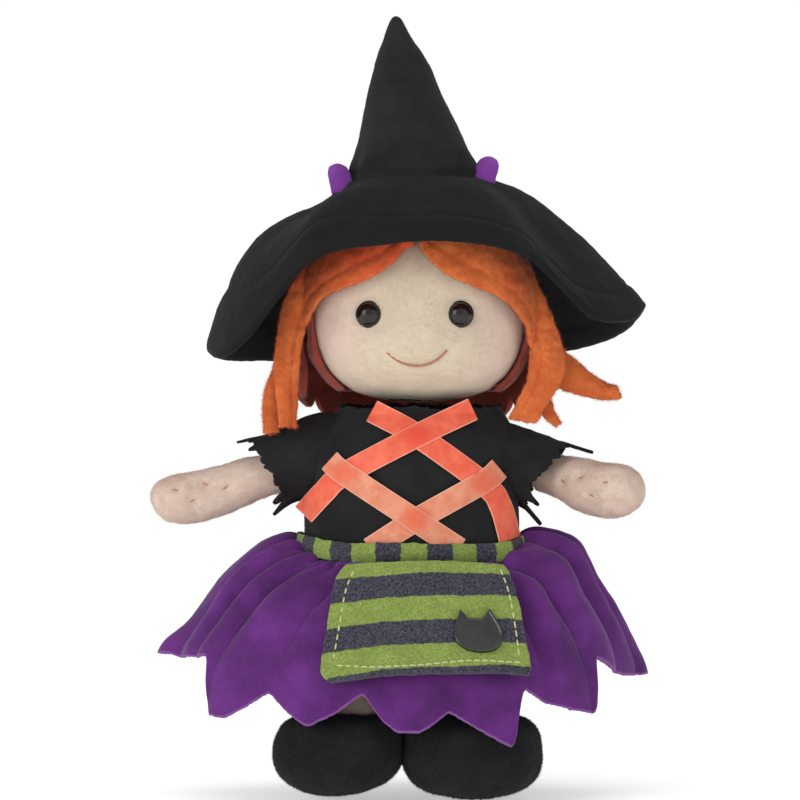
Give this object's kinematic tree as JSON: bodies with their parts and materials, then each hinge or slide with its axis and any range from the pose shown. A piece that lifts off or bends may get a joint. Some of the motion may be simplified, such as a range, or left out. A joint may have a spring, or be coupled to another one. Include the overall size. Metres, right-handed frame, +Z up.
{
  "type": "hand puppet",
  "caption": "Soft plush witch hand puppet with pointed felt hat, fleece hair, mitten arms, pointed skirt, apron and dangling boots; turns and nods its head and moves arms and legs.",
  "frame": {"origin": "middle of the hand opening, level with the back edge of the glove's mouth", "axes": "+Z up along the glove body to the hat, the face looks along -Y, +X is to the viewer's right"},
  "size_m": [0.1967, 0.1422, 0.3002],
  "materials": {
    "lining_cloth": "plain woven lining",
    "black_felt": "soft black felt",
    "purple_felt": "purple felt",
    "striped_felt": "green and grey striped felt",
    "orange_satin": "satin ribbon",
    "cream_plush": "short pile plush",
    "fibre_fill": "polyester fibre",
    "orange_fleece": "orange fleece",
    "beige_plush": "short pile plush",
    "black_plush": "black plush",
    "black_gloss": "polished moulded eye",
    "clear_plastic": "moulded washer",
    "rose_thread": "embroidery thread",
    "yellow_thread": "embroidery thread"
  },
  "bodies": {
    "torso": {"body_front": "lining_cloth", "body_back": "lining_cloth", "opening_hem": "lining_cloth", "bodice": "black_felt", "waist_belt": "striped_felt", "skirt": "purple_felt", "ribbon_1": "orange_satin", "ribbon_2": "orange_satin", "ribbon_3": "orange_satin", "ribbon_4": "orange_satin"},
    "neck": {"neck_tube": "lining_cloth"},
    "head": {"head_skin": "cream_plush", "head_stuffing": "fibre_fill", "finger_tube": "lining_cloth", "eye_left": "black_gloss", "eye_right": "black_gloss", "eye_washer_left": "clear_plastic", "eye_washer_right": "clear_plastic", "mouth_stitching": "rose_thread", "hair_cap": "orange_fleece", "hair_fringe_left": "orange_fleece", "hair_fringe_right": "orange_fleece", "hair_lock_left": "orange_fleece", "hair_strand_left": "orange_fleece", "hair_lock_right": "orange_fleece", "hair_strand_right": "orange_fleece", "hair_tuft_right": "orange_fleece", "hair_back": "orange_fleece", "hat_cone": "black_felt", "hat_stuffing": "fibre_fill", "hat_brim": "black_felt", "hat_loop_left": "purple_felt", "hat_loop_right": "purple_felt"},
    "shoulder_left": {"sleeve_left": "black_felt"},
    "arm_left": {"arm_left": "cream_plush", "arm_stuffing_left": "fibre_fill"},
    "shoulder_right": {"sleeve_right": "black_felt"},
    "arm_right": {"arm_right": "cream_plush", "arm_stuffing_right": "fibre_fill"},
    "leg_left": {"leg_skin_left": "beige_plush", "leg_stuffing_left": "fibre_fill", "boot_left": "black_plush", "boot_stuffing_left": "fibre_fill"},
    "leg_right": {"leg_skin_right": "beige_plush", "leg_stuffing_right": "fibre_fill", "boot_right": "black_plush", "boot_stuffing_right": "fibre_fill"},
    "apron": {"apron": "striped_felt", "apron_stitching": "yellow_thread", "cat_badge": "black_felt"}
  },
  "joints": [
    {"name": "head_turn", "type": "hinge", "parent": "torso", "child": "neck", "pos_m": [0, 0, 0.1], "axis": [0, 0, 1], "range_deg": [-30, 30], "stiffness_Nm_per_rad": 0.05},
    {"name": "head_nod", "type": "hinge", "parent": "neck", "child": "head", "pos_m": [0, 0, 0.1055], "axis": [1, 0, 0], "range_deg": [-10, 12], "stiffness_Nm_per_rad": 0.5},
    {"name": "arm_left_forward", "type": "hinge", "parent": "torso", "child": "shoulder_left", "pos_m": [-0.0546, 0, 0.084], "axis": [0, 0, 1], "range_deg": [-10, 60], "stiffness_Nm_per_rad": 0.02},
    {"name": "arm_left_raise", "type": "hinge", "parent": "shoulder_left", "child": "arm_left", "pos_m": [-0.0546, 0, 0.084], "axis": [0, 1, 0], "range_deg": [-12, 35], "stiffness_Nm_per_rad": 0.03},
    {"name": "arm_right_forward", "type": "hinge", "parent": "torso", "child": "shoulder_right", "pos_m": [0.0546, 0, 0.084], "axis": [0, 0, -1], "range_deg": [-44, 26], "stiffness_Nm_per_rad": 0.02},
    {"name": "arm_right_raise", "type": "hinge", "parent": "shoulder_right", "child": "arm_right", "pos_m": [0.0546, 0, 0.084], "axis": [-0.5592, -0.829, 0], "range_deg": [-12, 35], "stiffness_Nm_per_rad": 0.03},
    {"name": "leg_left_swing", "type": "hinge", "parent": "torso", "child": "leg_left", "pos_m": [-0.021, -0.031, 0.018], "axis": [-1, 0, 0], "range_deg": [-10, 8]},
    {"name": "leg_right_swing", "type": "hinge", "parent": "torso", "child": "leg_right", "pos_m": [0.019, -0.031, 0.018], "axis": [-1, 0, 0], "range_deg": [-10, 8]},
    {"name": "apron_lift", "type": "hinge", "parent": "torso", "child": "apron", "pos_m": [0, -0.0386, 0.0504], "axis": [-1, 0, 0], "range_deg": [0, 70]}
  ]
}
